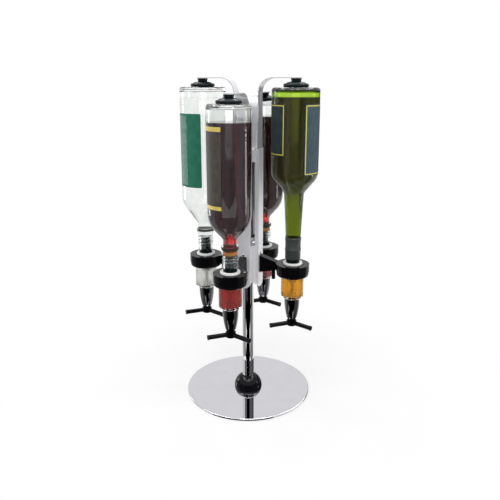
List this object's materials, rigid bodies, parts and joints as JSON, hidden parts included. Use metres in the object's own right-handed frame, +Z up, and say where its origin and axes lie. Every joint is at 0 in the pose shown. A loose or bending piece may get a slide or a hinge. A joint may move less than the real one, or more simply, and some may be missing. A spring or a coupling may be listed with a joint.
{
  "type": "rotating cocktail dispenser",
  "caption": "Rotating counter stand that holds upside-down bottles round a pole, each with a push-bar spirit measure below and a sliding cup arm above.",
  "frame": {"origin": "centre of the base's underside", "axes": "+Z up along the pole; front station towards -Y, right station towards +X"},
  "size_m": [0.2492, 0.2406, 0.576],
  "materials": {
    "mirror_steel": "mirror polished",
    "chrome_metal": "polished",
    "frame_metal": "polished",
    "arm_strip": "polished",
    "pad_rubber": "matte",
    "gloss_black": "gloss",
    "black_nylon": "satin",
    "black_plastic": "gloss",
    "white_plastic": "satin",
    "black_rubber": "satin",
    "clear_plastic": "clear",
    "valve_steel": "satin",
    "clear_glass": "clear",
    "green_glass": "clear"
  },
  "bodies": {
    "stand": {"base_plate": "mirror_steel", "base_pad": "pad_rubber", "foot_dome": "gloss_black", "pole": "chrome_metal", "foot_plug": "chrome_metal", "base_bolt": "chrome_metal", "top_plug": "black_nylon"},
    "carousel": {"lower_hub": "frame_metal", "upper_hub": "frame_metal", "hub_bushes": "black_nylon", "thrust_washer": "black_nylon", "gate_pins": "chrome_metal", "bracket_screws": "chrome_metal", "measure_heads": "black_plastic", "collar_rings": "white_plastic", "stoppers": "black_rubber", "spouts": "chrome_metal", "rail_front": "frame_metal", "bracket_front": "black_plastic", "chamber_front": "clear_plastic", "bottle_front": "clear_glass", "spring_front": "valve_steel", "rail_right": "frame_metal", "bracket_right": "black_plastic", "chamber_right": "clear_plastic", "bottle_right": "green_glass", "spring_right": "valve_steel", "rail_rear": "frame_metal", "bracket_rear": "black_plastic", "chamber_rear": "clear_plastic", "bottle_rear": "clear_glass", "spring_rear": "valve_steel", "rail_left": "frame_metal", "bracket_left": "black_plastic", "chamber_left": "clear_plastic", "bottle_left": "clear_glass", "spring_left": "valve_steel"},
    "lock_screw": {"lock_screw": "chrome_metal"},
    "gate_front": {"gate_front": "black_plastic"},
    "press_front": {"push_bar_front": "black_plastic", "valve_front": "valve_steel"},
    "arm_front": {"arm_front": "arm_strip", "cup_front": "black_rubber"},
    "gate_right": {"gate_right": "black_plastic"},
    "press_right": {"push_bar_right": "black_plastic", "valve_right": "valve_steel"},
    "arm_right": {"arm_right": "arm_strip", "cup_right": "black_rubber"},
    "gate_rear": {"gate_rear": "black_plastic"},
    "press_rear": {"push_bar_rear": "black_plastic", "valve_rear": "valve_steel"},
    "arm_rear": {"arm_rear": "arm_strip", "cup_rear": "black_rubber"},
    "gate_left": {"gate_left": "black_plastic"},
    "press_left": {"push_bar_left": "black_plastic", "valve_left": "valve_steel"},
    "arm_left": {"arm_left": "arm_strip", "cup_left": "black_rubber"}
  },
  "joints": [
    {"name": "carousel_turn", "type": "hinge", "parent": "stand", "child": "carousel", "pos_m": [0, 0, 0.218], "axis": [0, 0, 1], "continuous": true},
    {"name": "lock_turn", "type": "hinge", "parent": "carousel", "child": "lock_screw", "pos_m": [0.01061, -0.01061, 0.2925], "axis": [0.7071, -0.7071, 0], "range_deg": [0, 360]},
    {"name": "gate_swing_front", "type": "hinge", "parent": "carousel", "child": "gate_front", "pos_m": [0.02284, -0.07569, 0.2447], "axis": [0, 0, 1], "range_deg": [0, 90]},
    {"name": "press_front", "type": "slide", "parent": "carousel", "child": "press_front", "axis": [0, 0, 1], "range_m": [0, 0.005], "stiffness_N_per_m": 600, "springref_m": -0.006, "deforming": ["spring_front"]},
    {"name": "arm_lift_front", "type": "slide", "parent": "carousel", "child": "arm_front", "axis": [0, 0, 1], "range_m": [0, 0.055]},
    {"name": "gate_swing_right", "type": "hinge", "parent": "carousel", "child": "gate_right", "pos_m": [0.07569, 0.02284, 0.2447], "axis": [0, 0, 1], "range_deg": [0, 90]},
    {"name": "press_right", "type": "slide", "parent": "carousel", "child": "press_right", "axis": [0, 0, 1], "range_m": [0, 0.005], "stiffness_N_per_m": 600, "springref_m": -0.006, "deforming": ["spring_right"]},
    {"name": "arm_lift_right", "type": "slide", "parent": "carousel", "child": "arm_right", "axis": [0, 0, 1], "range_m": [0, 0.055]},
    {"name": "gate_swing_rear", "type": "hinge", "parent": "carousel", "child": "gate_rear", "pos_m": [-0.02284, 0.07569, 0.2447], "axis": [0, 0, 1], "range_deg": [0, 90]},
    {"name": "press_rear", "type": "slide", "parent": "carousel", "child": "press_rear", "axis": [0, 0, 1], "range_m": [0, 0.005], "stiffness_N_per_m": 600, "springref_m": -0.006, "deforming": ["spring_rear"]},
    {"name": "arm_lift_rear", "type": "slide", "parent": "carousel", "child": "arm_rear", "axis": [0, 0, 1], "range_m": [0, 0.055]},
    {"name": "gate_swing_left", "type": "hinge", "parent": "carousel", "child": "gate_left", "pos_m": [-0.07569, -0.02284, 0.2447], "axis": [0, 0, 1], "range_deg": [0, 90]},
    {"name": "press_left", "type": "slide", "parent": "carousel", "child": "press_left", "axis": [0, 0, 1], "range_m": [0, 0.005], "stiffness_N_per_m": 600, "springref_m": -0.006, "deforming": ["spring_left"]},
    {"name": "arm_lift_left", "type": "slide", "parent": "carousel", "child": "arm_left", "axis": [0, 0, 1], "range_m": [0, 0.055]}
  ]
}
